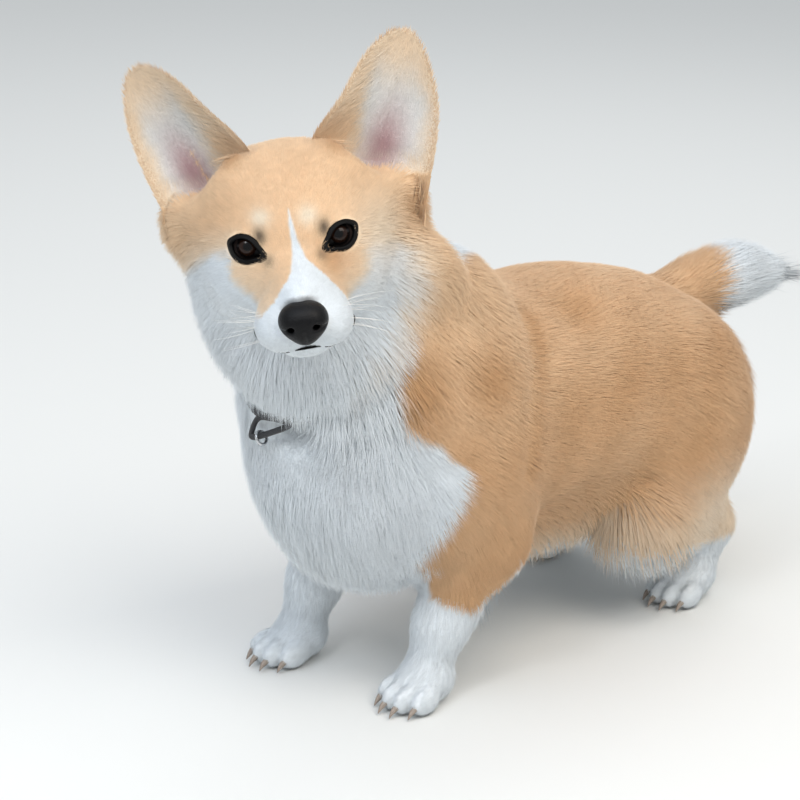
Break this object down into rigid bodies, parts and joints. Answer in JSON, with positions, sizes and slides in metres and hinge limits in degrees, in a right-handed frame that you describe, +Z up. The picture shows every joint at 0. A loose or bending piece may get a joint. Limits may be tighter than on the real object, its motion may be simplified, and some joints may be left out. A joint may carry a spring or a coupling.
{
  "type": "pembroke welsh corgi",
  "caption": "Life-size fawn and white Pembroke Welsh corgi, standing low on its hind legs with its head turned to its left, ears up and a narrow collar on.",
  "frame": {"origin": "on the floor under the middle of the whole dog's box", "axes": "+Z up, the dog faces -Y, its left side is +X"},
  "size_m": [0.2432, 0.657, 0.511],
  "materials": {
    "fawn_coat": "dense fawn double coat",
    "white_coat": "long soft white coat",
    "nose_skin": "moist black pebbled nose skin",
    "eye_surface": "wet dark brown eye",
    "collar_webbing": "black woven webbing",
    "collar_steel": "polished steel ring"
  },
  "bodies": {
    "root": {"collar_strap": "collar_webbing", "collar_loop": "collar_webbing", "collar_ring": "collar_steel", "head": "fawn_coat", "lower_jaw": "white_coat", "nose_leather": "nose_skin", "eye_left": "eye_surface", "eye_right": "eye_surface", "ear_left": "fawn_coat", "ear_right": "fawn_coat", "neck": "white_coat", "torso_front": "fawn_coat", "torso_middle": "fawn_coat", "torso_rear": "fawn_coat", "tail_base": "fawn_coat", "tail_tip": "white_coat", "foreleg_left": "fawn_coat", "foreleg_left_paw": "white_coat", "hindleg_left": "fawn_coat", "hindleg_left_paw": "white_coat", "foreleg_right": "fawn_coat", "foreleg_right_paw": "white_coat", "hindleg_right": "fawn_coat", "hindleg_right_paw": "white_coat"}
  },
  "joints": []
}
